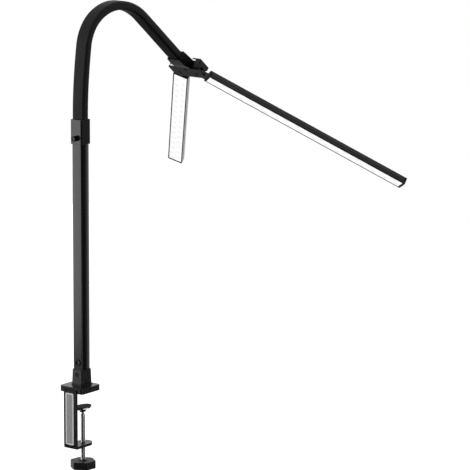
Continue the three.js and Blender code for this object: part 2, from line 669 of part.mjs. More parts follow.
// A channel that is open below, with two lips that hold the diffuser.
function channel(from, to) {
  const section = roundedRectangle(-BAR.half, BAR.half, BAR.bottom, BAR.top, BAR.edge);
  const tube = prism(section, 0, to - from, 1, 3);
  const innerHalf = BAR.half - BAR.wall;
  const lipTop = BAR.bottom + BAR.lipHeight;
  const length = [-1, to - from + 1];
  const inside = block([-innerHalf, innerHalf], [lipTop, BAR.top - BAR.wall], length);
  const window = block([-BAR.lipHalf, BAR.lipHalf], [BAR.bottom - 1, lipTop + 1], length);
  const profile = cut(tube, inside, window);
  return profile.rotateX(Math.PI / 2).rotateZ(Math.PI / 2).translate(from, 0, 0);
}

function bar(name, parent) {
  const end = BAR.start + BAR.length;
  const channelStart = BAR.start + BAR.cap + GAP;
  const channelEnd = end - BAR.cap - GAP;
  const armSlot = block(
    [BAR.start - 1, BAR.start + BAR.cap + 1],
    [-ARM.halfWidth - GAP, ARM.halfWidth + GAP],
    [ARM.bottom - GAP, ARM.top + GAP],
  );
  const innerCap = prism(capPlan(BAR.start, BAR.start + BAR.cap, -1), BAR.bottom, BAR.top);
  const outerCap = prism(capPlan(end - BAR.cap, end, 1), BAR.bottom, BAR.top);
  const boardTop = BAR.top - BAR.wall - GAP;
  const board = block(
    [ARM.end + BOARD.inset, channelEnd - BOARD.inset],
    [-BOARD.half, BOARD.half],
    [boardTop - BOARD.thickness, boardTop],
  );
  const diffuser = block(
    [channelStart, channelEnd],
    [-DIFFUSER.half, DIFFUSER.half],
    [BAR.bottom + DIFFUSER.recess, BAR.bottom + DIFFUSER.recess + DIFFUSER.thickness],
  );
  add(`${name}_arm`, barArm(), blackAluminium, parent);
  add(`${name}_inner_cap`, cut(innerCap, armSlot), blackPlastic, parent);
  add(`${name}_channel`, channel(channelStart, channelEnd), blackAluminium, parent);
  add(`${name}_led_board`, board, boardWhite, parent);
  add(`${name}_diffuser`, diffuser, opal, parent);
  add(`${name}_outer_cap`, outerCap, blackPlastic, parent);
}

for (const [name, side] of Object.entries(pivotSides)) {
  const pivot = group(hub, PIVOT.x, side * PIVOT.y, 0);
  const pivotScrew = upScrew(PIVOT.radius, PIVOT.headRadius, HUB.top - HUB.wall - GAP);
  const lowerWasher = ring(WASHER.lowerRadius, HUB.plateTop + GAP, ARM.bottom - GAP);
  const springWasher = ring(WASHER.springRadius, ARM.top + GAP, HUB.slotTop + WASHER.springRise);
  add(`${name}_pivot_screw`, pivotScrew, blackOxide, pivot);
  add(`${name}_lower_washer`, lowerWasher, steel, pivot);
  add(`${name}_spring_washer`, springWasher, steel, pivot);
  const swing = group(pivot, 0, 0, 0);
  swing.rotation.z = THREE.MathUtils.degToRad(BAR_ANGLES[name]);
  bar(name, swing);
}

export default lamp;
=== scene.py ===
# The looks of the clamp-on desk lamp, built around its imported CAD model.
# Blender objects are in metres. Shapes are worked out in millimetres and scaled by MM.

import json
import math
from contextlib import contextmanager

import bmesh
import bpy
from mathutils import Matrix, Vector


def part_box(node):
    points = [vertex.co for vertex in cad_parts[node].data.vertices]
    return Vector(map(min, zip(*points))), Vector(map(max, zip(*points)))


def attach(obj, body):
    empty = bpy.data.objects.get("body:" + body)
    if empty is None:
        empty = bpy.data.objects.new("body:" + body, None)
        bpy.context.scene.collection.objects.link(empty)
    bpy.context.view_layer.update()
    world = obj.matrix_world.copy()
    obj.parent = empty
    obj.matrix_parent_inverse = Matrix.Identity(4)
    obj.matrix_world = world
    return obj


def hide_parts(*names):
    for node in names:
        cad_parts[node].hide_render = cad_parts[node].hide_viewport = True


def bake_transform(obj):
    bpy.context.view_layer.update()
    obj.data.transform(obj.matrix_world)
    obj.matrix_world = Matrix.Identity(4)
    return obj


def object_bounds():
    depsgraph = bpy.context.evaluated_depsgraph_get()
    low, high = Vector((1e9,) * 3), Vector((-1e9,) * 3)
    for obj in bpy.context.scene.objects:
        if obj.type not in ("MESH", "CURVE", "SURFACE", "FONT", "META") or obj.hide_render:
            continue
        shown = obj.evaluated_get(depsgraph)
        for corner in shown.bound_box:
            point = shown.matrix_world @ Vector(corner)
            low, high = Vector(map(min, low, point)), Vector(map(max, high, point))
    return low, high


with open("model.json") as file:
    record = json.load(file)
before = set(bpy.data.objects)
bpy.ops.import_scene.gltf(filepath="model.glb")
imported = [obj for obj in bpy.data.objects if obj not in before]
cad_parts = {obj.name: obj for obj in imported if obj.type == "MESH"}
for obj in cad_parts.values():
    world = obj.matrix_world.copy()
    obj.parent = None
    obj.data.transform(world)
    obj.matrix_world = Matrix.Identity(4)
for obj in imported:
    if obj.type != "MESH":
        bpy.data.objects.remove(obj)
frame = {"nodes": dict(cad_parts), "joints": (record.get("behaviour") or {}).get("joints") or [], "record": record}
cad_low, cad_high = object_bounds()

MM = 0.001
joints = {joint["name"]: joint for joint in frame["joints"]}

# ------------------------------------------------------------------ dimensions
# The part's lengths are in millimetres and its angles in degrees, as in the CAD.

NECK_TURNS = [4.9, 3.9, 52.5, 37.4, 30.4, 0.4, 0]
NECK = {
    "link": 58, "half_depth": 7.24, "half_width": 12, "wall": 2, "corner": 4,
    "inner_corner": 1.5, "corner_steps": 8, "foot": -0.9, "tip": 419.5,
    "ring_spacing": 1.5, "still_margin": 4,
}
THREAD = {"pitch": 1.25, "depth": 0.3, "sides": 32, "core_chamfer": 1}
# The thread's section: shares of the pitch along the rod, and of the depth out from the core.
THREAD_SECTION = [(0, 0), (0.12, 0), (0.44, 1), (0.56, 1), (0.88, 0)]
THUMB = {
    "from": -18.7, "to": -11.7, "z": 413, "radius": 4.4, "groove": 0.35, "ridges": 30,
    "chamfer": 0.6, "recess_radius": 3, "recess_depth": 1,
}
POLE = {
    "half": 10, "corner": 1.4, "wall": 1.5, "inner_corner": 1, "crown_radius": 75,
    "bottom": 4.3, "top": 425,
}
INLET_HOLE = {"z": 46.8, "radius": 4.9, "sides": 32, "overrun": 1}
LABEL = {
    "z": -42.2, "panel_half_width": 5.9, "panel_half_height": 40.6,
    "border": (0.95, 0.95, 0.95), "panel_dark": (0.34, 0.34, 0.345), "panel_light": (0.52, 0.52, 0.525),
}
BAR = {
    "start": 17.5, "end": 395, "cap": 4, "gap": 0.3, "half": 13.4, "bottom": -2.7, "top": 9,
    "wall": 1.4, "lip_half": 11.6, "lip_top": -1.1, "edge": 0.8,
    "groove_low": 1.4, "groove_high": 3.0, "groove_depth": 0.45,
}
DIFFUSER = {"half": 11.3, "thickness": 0.9, "recess": 0.7, "edge": 0.25}
CHIPS = {"pitch": 11.5, "row": 5.2, "dim_at": -0.5, "bright_at": 1}
BAR_ANGLES = {"long_bar": -39.7, "short_bar": 33.5}

# How the edges of the carried-over CAD nodes are rounded. Those of BAR_EDGES are on each bar.
CLAMP_EDGES = {
    "clamp_seat": {"edge_mm": 0.7},
    "clamp_bracket": {"edge_mm": 0.8, "from_length_mm": 2},
}
FITTING_EDGES = {
    "collar": {"edge_mm": 0.6},
    "desk_pad": {"edge_mm": 0.3},
    "blank_label": {"edge_mm": 0.15, "segments": 2},
    "inlet_body": {"edge_mm": 0.3, "segments": 2},
    "socket_set_screw": {"edge_mm": 0.2, "segments": 2},
    "bracket_screw_1": {"edge_mm": 0.2, "segments": 2},
    "bracket_screw_2": {"edge_mm": 0.2, "segments": 2},
    "clamp_knob": {"edge_mm": 0.8},
    "pressure_disc": {"edge_mm": 0.2, "segments": 2},
    "disc_pad": {"edge_mm": 0.3, "segments": 2},
}
BAR_EDGES = {
    "arm": {"edge_mm": 0.4},
    "inner_cap": {"edge_mm": 0.4},
    "outer_cap": {"edge_mm": 0.6},
    "pivot_screw": {"edge_mm": 0.1, "segments": 1},
}
HUB_EDGES = {
    "hub_socket": {"edge_mm": 0.8},
    "hub_shell": {"edge_mm": 0.6},
    "hub_plate": {"edge_mm": 0.35, "segments": 2},
    "hub_screw": {"edge_mm": 0.1, "segments": 1},
}

# Meshes are cleaned up to these distances, in metres, and angles, in degrees.
SAME_POINT = 1e-7
SAME_CAD_POINT = 2e-6
NO_LENGTH = 1e-8
FLAT_DEGREES = 1
ROUNDED_FROM_DEGREES = 30

# The camera, the floor and the lights are in metres and watts.
CAMERA = {
    "at": (-3.73846, -3.21706, 1.24833), "heading": -52.1478, "pitch": 11.3868, "roll": 0.245,
    "lens": 240.76, "sensor": 36, "near": 0.1, "far": 50,
}
FLOOR = {
    "towards_camera": (-0.758, -0.652, 0), "radius": 1.5, "setback": 1.1, "drop": 0.06,
    "sides": 96, "cloud_mm": 300, "dark": (0.50, 0.50, 0.50), "light": (0.56, 0.56, 0.56),
}
WHITE = (1, 1, 1, 1)
# The studio's brightness, by a direction's share of dark_side or by its height.
STUDIO = {
    "dark_side": (-0.772, -0.636, 0),
    "walls": {"low": 1.0, "high": 0.02, "low_at": -0.38, "high_at": -0.15},
    "below": {"low": 0.22, "high": 1.0, "low_at": -0.55, "high_at": -0.3},
    "ceiling": {"high": 0.55, "low_at": 0.3, "high_at": 0.55},
}
SOFTBOXES = {
    "left_softbox": {
        "place": (-2.22, 1.86, 0.3), "target": (0, 0, 0.3), "width": 2.0, "height": 1.8, "watts": 20,
    },
    "high_left_fill": {
        "place": (-2.25, -0.2, 1.4), "target": (0, 0, 0.1), "width": 0.9, "height": 0.9, "watts": 14,
    },
    "low_front_card": {
        "place": (-0.45, -2.4, -0.55), "target": (0, 0, -0.05), "width": 2.6, "height": 0.6, "watts": 4,
    },
}

# --------------------------------------------------------------------- camera


def in_scene(name, data):
    """A new object in the scene that shows data."""
    made = bpy.data.objects.new(name, data)
    bpy.context.scene.collection.objects.link(made)
    return made


def make_camera():
    data = bpy.data.cameras.new("camera")
    data.sensor_width = CAMERA["sensor"]
    data.lens = CAMERA["lens"]
    data.clip_start = CAMERA["near"]
    data.clip_end = CAMERA["far"]
    camera = in_scene("camera", data)
    heading = Matrix.Rotation(math.radians(CAMERA["heading"]), 4, "Z")
    pitch = Matrix.Rotation(math.radians(90 - CAMERA["pitch"]), 4, "X")
    roll = Matrix.Rotation(math.radians(CAMERA["roll"]), 4, "Z")
    camera.matrix_world = Matrix.Translation(CAMERA["at"]) @ heading @ pitch @ roll
    bpy.context.scene.camera = camera


make_camera()

# ------------------------------------------------------------------- materials


class Nodes:
    """A node tree, with short calls for the nodes that the finishes and the studio share."""

    def __init__(self, tree):
        self.nodes = tree.nodes
        self.links = tree.links

    def add(self, kind, inputs=None, **settings):
        """A new node. Each of its inputs is set to a value or linked to a socket."""
        node = self.nodes.new(kind)
        for key, value in settings.items():
            setattr(node, key, value)
        for socket, value in (inputs or {}).items():
            if isinstance(value, bpy.types.NodeSocket):
                self.links.new(value, node.inputs[socket])
            else:
                node.inputs[socket].default_value = value
        return node

    def compute(self, operation, *values):
        return self.add("ShaderNodeMath", dict(enumerate(values)), operation=operation).outputs[0]

    def ramp(self, value, low, high, low_at=0, high_at=1, **settings):
        """low where value is low_at, high where it is high_at, and a ramp between the two."""
        inputs = {"Value": value, "From Min": low_at, "From Max": high_at, "To Min": low, "To Max": high}
        return self.add("ShaderNodeMapRange", inputs, **settings).outputs["Result"]

    def mix(self, share, first, second):
        """The colour first where share is 0, second where it is 1."""
        inputs = {"Factor": share, "A": first, "B": second}
        return self.add("ShaderNodeMix", inputs, data_type="RGBA").outputs["Result"]

    def tint(self, share, low, high):
        return self.mix(share, (*low, 1), (*high, 1))


class Shader(Nodes):
    """A material around one Principled shader, some of whose sockets are set to values."""

    def __init__(self, name, **values):
        self.material = bpy.data.materials.new(name)
        self.material.use_nodes = True
        super().__init__(self.material.node_tree)
        self.surface = self.nodes["Principled BSDF"]
        for socket, value in values.items():
            self.surface.inputs[socket.replace("_", " ")].default_value = value

    def axes(self):
        """The object's own X, Y and Z."""
        where = self.add("ShaderNodeTexCoord").outputs["Object"]
        split = self.add("ShaderNodeSeparateXYZ", {"Vector": where})
        return [split.outputs[axis] for axis in "XYZ"]

    def noise(self, size_mm, detail=2, roughness=0.5, stretch=(1, 1, 1)):
        """Noise whose features are about size_mm across."""
        where = self.add("ShaderNodeTexCoord").outputs["Object"]
        stretched = self.add("ShaderNodeMapping", {"Vector": where, "Scale": stretch})
        inputs = {
            "Vector": stretched.outputs["Vector"], "Scale": 1 / (size_mm * MM),
            "Detail": detail, "Roughness": roughness,
        }
        return self.add("ShaderNodeTexNoise", inputs).outputs["Fac"]

    def link(self, value, socket):
        self.links.new(value, self.surface.inputs[socket])

    def bump(self, height, depth_mm, strength):
        inputs = {"Height": height, "Distance": depth_mm * MM, "Strength": strength}
        self.link(self.add("ShaderNodeBump", inputs).outputs["Normal"], "Normal")


def textured(name, cloud, colours, roughness, grain=None, bump=None, rough_with="cloud", **values):
    """A finish that two noises vary: a cloud for its colour and a grain for its bumps.

    Its roughness varies with the noise that rough_with names. Without a grain of its own,
    a finish takes its bumps from the cloud.
    """
    shader = Shader(name, **values)
    noises = {"cloud": shader.noise(**cloud)}
    noises["grain"] = shader.noise(**grain) if grain else noises["cloud"]
    shader.link(shader.tint(noises["cloud"], *colours), "Base Color")
    shader.link(shader.ramp(noises[rough_with], *roughness), "Roughness")
    if bump:
        shader.bump(noises["grain"], **bump)
    return shader.material


def label_film():
    """Blank label: a grey panel inside a white border, printed on satin film."""
    shader = Shader("blank_label_film", Metallic=0)
    _, across, up = shader.axes()
    from_middle = shader.compute("ABSOLUTE", shader.compute("SUBTRACT", up, LABEL["z"] * MM))
    from_axis = shader.compute("ABSOLUTE", across)
    in_width = shader.compute("LESS_THAN", from_axis, LABEL["panel_half_width"] * MM)
    in_height = shader.compute("LESS_THAN", from_middle, LABEL["panel_half_height"] * MM)
    panel = shader.compute("MULTIPLY", in_width, in_height)
    cloud = shader.noise(size_mm=2.2, detail=4, roughness=0.6)
    field = shader.tint(cloud, LABEL["panel_dark"], LABEL["panel_light"])
    shader.link(shader.mix(panel, (*LABEL["border"], 1), field), "Base Color")
    shader.link(shader.ramp(cloud, low=0.28, high=0.4), "Roughness")
    return shader.material


def opal():
    """Opal diffuser, lit from behind by two staggered rows of chips.

    The diffuser's own X runs along the bar and its own Y across it.
    """
    shader = Shader("opal_diffuser", Metallic=0, Roughness=0.4, Emission_Strength=0.88)
    along, across, _ = shader.axes()
    along = shader.compute("MULTIPLY", along, math.pi / (CHIPS["pitch"] * MM))
    across = shader.compute("MULTIPLY", across, math.pi / (2 * CHIPS["row"] * MM))
    glow = shader.compute("MULTIPLY", shader.compute("SINE", along), shader.compute("SINE", across))
    level = shader.compute("ADD", glow, shader.noise(size_mm=5))
    shine = shader.ramp(level, low=0, high=1, low_at=CHIPS["dim_at"], high_at=CHIPS["bright_at"])
    body = shader.tint(shine, low=(0.62, 0.62, 0.63), high=(0.90, 0.90, 0.90))
    light = shader.tint(shine, low=(0.83, 0.83, 0.84), high=(1, 1, 1))
    shader.link(body, "Base Color")
    shader.link(light, "Emission Color")
    return shader.material


def black(darkest, lightest):
    """The two ends of a black finish's colour, with the faintest touch of blue."""
    blue_share = 1.02
    return [(level, level, level * blue_share) for level in (darkest, lightest)]


FINISHES = {
    # Black anodised extrusion: satin, with faint drawn lines along its length.
    "black_aluminium": textured(
        "black_anodised", Metallic=0, Specular_IOR_Level=0.75,
        cloud={"size_mm": 40, "detail": 3}, colours=black(0.004, 0.009),
        grain={"size_mm": 0.5, "stretch": (1, 1, 0.012)}, bump={"depth_mm": 0.01, "strength": 0.3},
        roughness=(0.12, 0.22), rough_with="grain",
    ),
    # Semi-matte black powder coat: an even dark skin with a fine orange-peel texture.
    "black_paint": textured(
        "powder_coat", Metallic=0, Specular_IOR_Level=0.5,
        cloud={"size_mm": 14, "detail": 4, "roughness": 0.6}, colours=black(0.003, 0.008),
        grain={"size_mm": 0.9, "detail": 3}, bump={"depth_mm": 0.03, "strength": 0.4},
        roughness=(0.18, 0.30),
    ),
    # Moulded black plastic with a spark-eroded grain.
    "black_plastic": textured(
        "moulded_black", Metallic=0, Specular_IOR_Level=0.5,
        cloud={"size_mm": 12}, colours=black(0.003, 0.007),
        grain={"size_mm": 0.45}, bump={"depth_mm": 0.03, "strength": 0.35},
        roughness=(0.42, 0.56),
    ),
    # Matte silicone skin with a fine dusty grain.
    "silicone": textured(
        "silicone", Metallic=0, Specular_IOR_Level=0.36,
        cloud={"size_mm": 9, "detail": 5, "roughness": 0.7}, colours=black(0.003, 0.007),
        grain={"size_mm": 0.6, "detail": 4, "roughness": 0.65},
        bump={"depth_mm": 0.025, "strength": 0.4},
        roughness=(0.50, 0.62),
    ),
    # Dull black rubber, a little chalky.
    "rubber": textured(
        "rubber", Metallic=0, Specular_IOR_Level=0.3,
        cloud={"size_mm": 0.8, "detail": 5, "roughness": 0.7}, colours=black(0.004, 0.012),
        bump={"depth_mm": 0.05, "strength": 0.6}, roughness=(0.65, 0.85),
    ),
    # Bright plating with the faint haze and fine scratches of handled parts.
    "chrome": textured(
        "chrome_plate", Metallic=1,
        cloud={"size_mm": 6, "detail": 5, "roughness": 0.7},
        colours=[(0.70, 0.71, 0.73), (0.82, 0.83, 0.85)],
        grain={"size_mm": 0.35, "detail": 1, "stretch": (1, 1, 0.2)},
        bump={"depth_mm": 0.004, "strength": 0.2}, roughness=(0.05, 0.14),
    ),
    # Machined steel with fine turning marks.
    "steel": textured(
        "machined_steel", Metallic=1,
        cloud={"size_mm": 0.4, "detail": 3, "stretch": (1, 1, 0.1)},
        colours=[(0.38, 0.38, 0.40), (0.56, 0.56, 0.58)],
        bump={"depth_mm": 0.01, "strength": 0.3}, roughness=(0.25, 0.42),
    ),
    # Blackened screw steel: a dark metal with a thin oily sheen.
    "black_oxide": textured(
        "black_oxide", Metallic=0.6, Specular_IOR_Level=0.5,
        cloud={"size_mm": 1.6, "detail": 4, "roughness": 0.6}, colours=black(0.012, 0.03),
        bump={"depth_mm": 0.01, "strength": 0.3}, roughness=(0.28, 0.46),
    ),
    "label_grey": label_film(),
    "opal": opal(),
    # Natural nylon, slightly cloudy.
    "nylon": textured(
        "nylon", Metallic=0, cloud={"size_mm": 3, "detail": 3},
        colours=[(0.68, 0.67, 0.62), (0.8, 0.79, 0.75)], roughness=(0.4, 0.55),
    ),
    # White lacquer of the circuit board.
    "board_white": textured(
        "white_solder_mask", Metallic=0, cloud={"size_mm": 4, "detail": 3},
        colours=[(0.72, 0.72, 0.7), (0.82, 0.82, 0.8)], roughness=(0.3, 0.45),
    ),
}
SLOT_OF_NODE = {row["node"]: row["material_slot"] for row in frame["record"]["subparts"]}
BODY_OF_NODE = {
    node: body for body, nodes in frame["record"]["behaviour"]["bodies"].items() for node in nodes
}

for node, cad_object in frame["nodes"].items():
    cad_object.data.materials.clear()
    cad_object.data.materials.append(FINISHES[SLOT_OF_NODE[node]])

# ---------------------------------------------------------------- mesh helpers


def new_object(name, mesh, finish):
    """An object that shows mesh in the finish of one of the record's material slots."""
    made = in_scene(name, mesh)
    mesh.materials.clear()
    mesh.materials.append(FINISHES[finish])
    return made


@contextmanager
def edited(mesh):
    """The mesh opened for changes, which are written back at the end of the block."""
    work = bmesh.new()
    work.from_mesh(mesh)
    yield work
    work.to_mesh(mesh)
    work.free()


def from_lists(name, points, faces, finish, place=None):
    """An object from points in millimetres, moved by place, a matrix in millimetres."""
    place = place or Matrix.Identity(4)
    mesh = bpy.data.meshes.new(name)
    mesh.from_pydata([(place @ Vector(point)) * MM for point in points], [], faces)
    with edited(mesh) as work:
        bmesh.ops.remove_doubles(work, verts=work.verts, dist=SAME_POINT)
        bmesh.ops.recalc_face_normals(work, faces=work.faces)
    return new_object(name, mesh, finish)


def smooth(made, sharp_degrees=35):
    mesh = made.data
    mesh.polygons.foreach_set("use_smooth", [True] * len(mesh.polygons))
    mesh.set_sharp_from_angle(angle=math.radians(sharp_degrees))
    return made


def apply_modifiers(made):
    depsgraph = bpy.context.evaluated_depsgraph_get()
    mesh = bpy.data.meshes.new_from_object(made.evaluated_get(depsgraph))
    made.modifiers.clear()
    made.data = mesh
    return made


def stand_for(made, node):
    """Makes made ride where the CAD node rides, and show in its place."""
    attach(made, BODY_OF_NODE[node])
    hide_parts(node)


def round_edges(made, width_mm, segments, from_length_mm):
    """Rounds the edges that are not nearly flat and are longer than from_length_mm."""
    with edited(made.data) as work:
        weight = work.edges.layers.float.new("bevel_weight_edge")
        for edge in work.edges:
            turns = edge.is_manifold and edge.calc_face_angle() > math.radians(ROUNDED_FROM_DEGREES)
            edge[weight] = float(turns and edge.calc_length() > from_length_mm * MM)
    bevel = made.modifiers.new("edges", "BEVEL")
    bevel.width = width_mm * MM
    bevel.segments = segments
    bevel.limit_method = "WEIGHT"
    bevel.use_clamp_overlap = True
    apply_modifiers(made)


def refine(node, edge_mm, segments=3, from_length_mm=0):
    """Shows a copy of a CAD node with its triangles merged to faces and its edges rounded."""
    name = f"{node}_finished"
    merged = bmesh.new()
    merged.from_mesh(frame["nodes"][node].data)
    bmesh.ops.remove_doubles(merged, verts=merged.verts, dist=SAME_CAD_POINT)
    bmesh.ops.dissolve_limit(
        merged, angle_limit=math.radians(FLAT_DEGREES), verts=merged.verts, edges=merged.edges
    )
    bmesh.ops.recalc_face_normals(merged, faces=merged.faces)
    mesh = bpy.data.meshes.new(name)
    merged.to_mesh(mesh)
    merged.free()
    made = new_object(name, mesh, SLOT_OF_NODE[node])
    round_edges(made, edge_mm, segments, from_length_mm)
    smooth(made)
    flat_faces = made.modifiers.new("flat_faces", "WEIGHTED_NORMAL")
    flat_faces.keep_sharp = True
    stand_for(apply_modifiers(made), node)


def refine_all(table, prefix=""):
    for node, edges in table.items():
        refine(prefix + node, **edges)


def quad_ring(here, there, count):
    """The faces between two rings of count points, which start at here and at there."""
    pairs = [(k, (k + 1) % count) for k in range(count)]
    return [(here + k, here + after, there + after, there + k) for k, after in pairs]


def turned(name, profile, finish, place=None, sides=72):
    """A solid of revolution about +Z. profile is a closed list of (radius, z)."""
    points = []
    faces = []
    count = len(profile)
    for step in range(sides):
        angle = 2 * math.pi * step / sides
        points += [(radius * math.cos(angle), radius * math.sin(angle), z) for radius, z in profile]
        faces += quad_ring((step + 1) % sides * count, step * count, count)
    made = from_lists(name, points, faces, finish, place)
    with edited(made.data) as work:
        bmesh.ops.dissolve_degenerate(work, dist=NO_LENGTH, edges=work.edges)
    return made


def swept_tube(name, outer, inner, rings, finish):
    """A hollow tube through rings, which are matrices that place the two outlines."""
    count = len(outer)
    points = [ring @ Vector((x, y, 0)) for ring in rings for x, y in outer + inner]
    starts = [2 * count * ring for ring in range(len(rings))]
    faces = []
    for here, there in zip(starts, starts[1:]):
        faces += quad_ring(here, there, count)
        faces += quad_ring(there + count, here + count, count)
    faces += quad_ring(count, 0, count)
    faces += quad_ring(starts[-1], starts[-1] + count, count)
    return from_lists(name, points, faces, finish)


def extruded(name, outline, x0, x1, finish):
    """A prism that runs along +X. outline is a closed list of (y, z), anticlockwise."""
    count = len(outline)
    points = [(x, y, z) for x in (x0, x1) for y, z in outline]
    faces = [tuple(range(count)), tuple(range(2 * count - 1, count - 1, -1))]
    return from_lists(name, points, faces + quad_ring(0, count, count), finish)


# ------------------------------------------------------------------------ neck


def rounded_rectangle(half_x, half_y, radius, steps):
    """The outline, with each corner drawn in steps."""
    x, y = half_x - radius, half_y - radius
    outline = []
    for centre_x, centre_y, start in [(x, y, 0), (-x, y, 90), (-x, -y, 180), (x, -y, 270)]:
        for step in range(steps + 1):
            angle = math.radians(start + 90 * step / steps)
            outline.append((centre_x + radius * math.cos(angle), centre_y + radius * math.sin(angle)))
    return outline


def arc(length, turn):
    """The way along a link: a straight line, or an arc that turns by turn over the whole link."""
    if turn == 0 or length <= 0:
        return Matrix.Translation((0, 0, length))
    radius = NECK["link"] / math.radians(turn)
    angle = length / radius
    reach = Matrix.Translation((radius * (1 - math.cos(angle)), 0, radius * math.sin(angle)))
    return reach @ Matrix.Rotation(angle, 4, "Y")


def neck_ring(along):
    """The matrix, in millimetres, of the neck's cross-section this far along its centreline."""
    place = Matrix.Translation(Vector(joints["neck_bend_1"]["pos_m"]) / MM)
    left = along
    for turn in NECK_TURNS[:-1]:
        if left < NECK["link"]:
            return place @ arc(left, turn)
        place = place @ arc(NECK["link"], turn)
        left -= NECK["link"]
    return place @ arc(left, NECK_TURNS[-1])


def make_neck():
    """The sleeve, in stretches from mid-link to mid-link that each span one hinge. Only the last stretch is
    attached to a link's body.
    """
    depth, width, steps = NECK["half_depth"], NECK["half_width"], NECK["corner_steps"]
    outer = rounded_rectangle(depth, width, NECK["corner"], steps)
    depth, width = depth - NECK["wall"], width - NECK["wall"]
    inner = rounded_rectangle(depth, width, NECK["inner_corner"], steps)
    links = len(NECK_TURNS)
    ends = [NECK["foot"]] + [NECK["link"] * (k + 0.5) for k in range(links)] + [NECK["tip"]]
    for piece in range(links + 1):
        low, high = ends[piece], ends[piece + 1]
        steps = max(2, round((high - low) / NECK["ring_spacing"]))
        rings = [neck_ring(low + (high - low) * step / steps) for step in range(steps + 1)]
        made = swept_tube(f"neck_skin_{piece + 1}", outer, inner, rings, "silicone")
        smooth(made, sharp_degrees=50)
        if piece == links:
            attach(made, f"neck_{links}")
            continue
        start = neck_ring(low + NECK["still_margin"]).translation * MM
        end = neck_ring(high - NECK["still_margin"]).translation * MM
        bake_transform(made)
        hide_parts(f"neck_sleeve_{piece + 1}")


make_neck()

# -------------------------------------------------------------- clamp and pole


def crowned_square(half, corner, crown_radius, steps=8):
    """The outline of a square whose sides bulge a little, as arcs of crown_radius."""
    crown_x = half - crown_radius
    reach = crown_radius - corner
    swing = math.pi / 4 + math.asin(crown_x / (math.sqrt(2) * reach))
    corner_x, corner_y = crown_x + reach * math.cos(swing), reach * math.sin(swing)
    side = []
    for step in range(-steps, steps):
        angle = swing * step / steps
        side.append((crown_x + crown_radius * math.cos(angle), crown_radius * math.sin(angle)))
    for step in range(steps):
        angle = swing + (math.pi / 2 - 2 * swing) * step / steps
        side.append((corner_x + corner * math.cos(angle), corner_y + corner * math.sin(angle)))
    quarters = [Matrix.Rotation(quarter * math.pi / 2, 2) for quarter in range(4)]
    return [tuple(quarter @ Vector(point)) for quarter in quarters for point in side]


def make_pole():
    """The square tube, its sides drawn slightly convex, with the hole for the lead's inlet."""
    outer = crowned_square(POLE["half"], POLE["corner"], POLE["crown_radius"])
    inner = crowned_square(POLE["half"] - POLE["wall"], POLE["inner_corner"], POLE["crown_radius"])
    rings = [Matrix.Translation((0, 0, z)) for z in (POLE["bottom"], POLE["top"])]
    pole = swept_tube("pole_skin", outer, inner, rings, "black_aluminium")
    depth = POLE["half"] + INLET_HOLE["overrun"]
    profile = [(0, 0), (INLET_HOLE["radius"], 0), (INLET_HOLE["radius"], depth), (0, depth)]
    facing_back = Matrix.Translation((0, 0, INLET_HOLE["z"])) @ Matrix.Rotation(-math.pi / 2, 4, "Y")
    drill = turned("inlet_drill", profile, "black_aluminium", facing_back, INLET_HOLE["sides"])
    hole = pole.modifiers.new("hole", "BOOLEAN")
    hole.operation = "DIFFERENCE"
    hole.object = drill
    apply_modifiers(pole)
    bpy.data.objects.remove(drill)
    stand_for(smooth(pole, sharp_degrees=40), "pole_tube")


def make_thread(axis, bottom, root, turns):
    """A helical ridge about axis that starts at bottom and stands on a core of radius root."""
    pitch, sides = THREAD["pitch"], THREAD["sides"]
    section = [(share * pitch, root + rise * THREAD["depth"]) for share, rise in THREAD_SECTION]
    points = []
    for step in range((turns + 1) * sides):
        angle = 2 * math.pi * step / sides
        z = bottom + pitch * step / sides
        for lift, radius in section:
            x, y = axis[0] + radius * math.cos(angle), axis[1] + radius * math.sin(angle)
            points.append((x, y, z + lift))
    count = len(section)
    last = count - 1
    above = count * sides
    faces = []
    for step in range(turns * sides):
        here, after = step * count, (step + 1) * count
        faces += [(here + k, after + k, after + k + 1, here + k + 1) for k in range(last)]
        if step < (turns - 1) * sides:
            faces.append((here + last, after + last, after + above, here + above))
    return smooth(from_lists("clamp_screw_thread", points, faces, "chrome"), sharp_degrees=50)


def make_clamp_screw():
    """The threaded rod: a thread on a core that shows at both ends."""
    low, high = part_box("clamp_screw")
    bottom, top = low.z / MM, high.z / MM
    axis = ((low.x + high.x) / 2 / MM, (low.y + high.y) / 2 / MM)
    root = (high.x - low.x) / 2 / MM - THREAD["depth"]
    chamfer = THREAD["core_chamfer"]
    turns = int((top - bottom - 2 * chamfer) / THREAD["pitch"]) - 1
    stand_for(make_thread(axis, bottom + chamfer, root, turns), "clamp_screw")
    core = [
        (0, bottom), (root - chamfer, bottom), (root, bottom + chamfer), (root, top - chamfer),
        (root - chamfer, top), (0, top),
    ]
    rod = smooth(turned("clamp_screw_core", core, "chrome", Matrix.Translation((*axis, 0))))
    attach(rod, BODY_OF_NODE["clamp_screw"])


